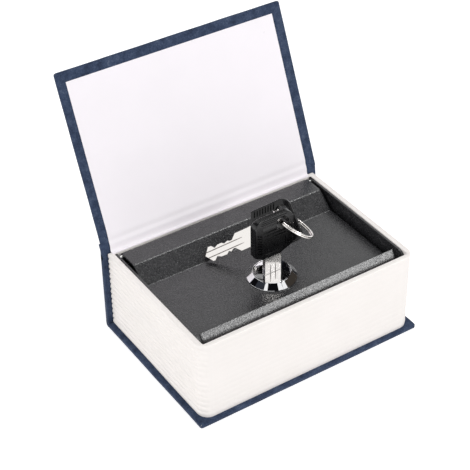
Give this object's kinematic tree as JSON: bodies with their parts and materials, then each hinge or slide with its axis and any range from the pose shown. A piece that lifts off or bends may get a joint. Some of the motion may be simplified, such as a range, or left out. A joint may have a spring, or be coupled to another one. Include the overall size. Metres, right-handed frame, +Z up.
{
  "type": "book diversion safe",
  "caption": "Cloth-covered book whose page block hides a steel box with a sunk, hinged lid and a key-operated cam lock; the key is in the lock with the spare on its ring.",
  "frame": {"origin": "centre of the back cover's underside, which rests on the table", "axes": "+X along the spine, to the right seen from the fore-edge; +Y from the fore-edge to the spine; +Z up out of the box"},
  "size_m": [0.1186, 0.1152, 0.1205],
  "materials": {
    "bookcloth": "dark navy bookcloth with a fine mottled grain",
    "grey_board": "pressed grey board",
    "endpaper": "smooth matt white paper",
    "page_plastic": "cream moulded plastic with page ridges",
    "hammered_paint": "dark grey hammer-texture paint",
    "zinc_steel": "zinc-plated steel",
    "chrome": "mirror-bright chrome",
    "wafer_brass": "bright pressed brass",
    "key_nickel": "bright nickel plate",
    "key_plastic": "black moulded plastic, half gloss"
  },
  "bodies": {
    "case": {"back_board": "grey_board", "back_cloth": "bookcloth", "back_endpaper": "endpaper", "spine_board": "grey_board", "spine_cloth": "bookcloth", "rear_crease_cloth": "bookcloth", "hinge_cloth": "bookcloth", "endpaper_tab": "endpaper", "page_block": "page_plastic", "box_body": "hammered_paint", "floor_rivet_1": "zinc_steel", "floor_rivet_2": "zinc_steel", "floor_rivet_3": "zinc_steel", "floor_rivet_4": "zinc_steel", "catch_angle": "zinc_steel", "hinge_rod": "zinc_steel"},
    "cover": {"front_board": "grey_board", "front_cloth": "bookcloth", "front_endpaper": "endpaper"},
    "lid": {"box_lid": "hammered_paint", "lock_barrel": "chrome", "lock_washer": "zinc_steel", "lock_nut": "zinc_steel"},
    "plug": {"lock_plug": "chrome", "wafer_1": "wafer_brass", "wafer_2": "wafer_brass", "wafer_3": "wafer_brass", "wafer_4": "wafer_brass", "lock_cam": "zinc_steel", "cam_washer": "zinc_steel", "cam_screw": "zinc_steel"},
    "key": {"key_blade": "key_nickel", "key_head": "key_plastic"},
    "ring": {"key_ring": "key_nickel"},
    "spare": {"spare_blade": "key_nickel", "spare_head": "key_plastic"}
  },
  "joints": [
    {"name": "cover_hinge", "type": "hinge", "parent": "case", "child": "cover", "pos_m": [0, 0.0402, 0.0435], "axis": [-1, 0, 0], "range_deg": [-75, 65]},
    {"name": "lid_hinge", "type": "hinge", "parent": "case", "child": "lid", "pos_m": [0, 0.0353, 0.04158], "axis": [-1, 0, 0], "range_deg": [0, 60]},
    {"name": "lock_turn", "type": "hinge", "parent": "lid", "child": "plug", "pos_m": [0, -0.0083, 0.0365], "axis": [0, 0, 1], "range_deg": [0, 90]},
    {"name": "key_pull", "type": "slide", "parent": "plug", "child": "key", "axis": [0, 0, 1], "range_m": [0, 0.014]},
    {"name": "ring_swing", "type": "hinge", "parent": "key", "child": "ring", "pos_m": [0.004, -0.0083, 0.06548], "axis": [0, 1, 0], "range_deg": [0, 15]},
    {"name": "spare_swing", "type": "hinge", "parent": "ring", "child": "spare", "pos_m": [0.01382, 0.00289, 0.05889], "axis": [0.6105, 0.4968, -0.6168], "range_deg": [0, 20]}
  ]
}
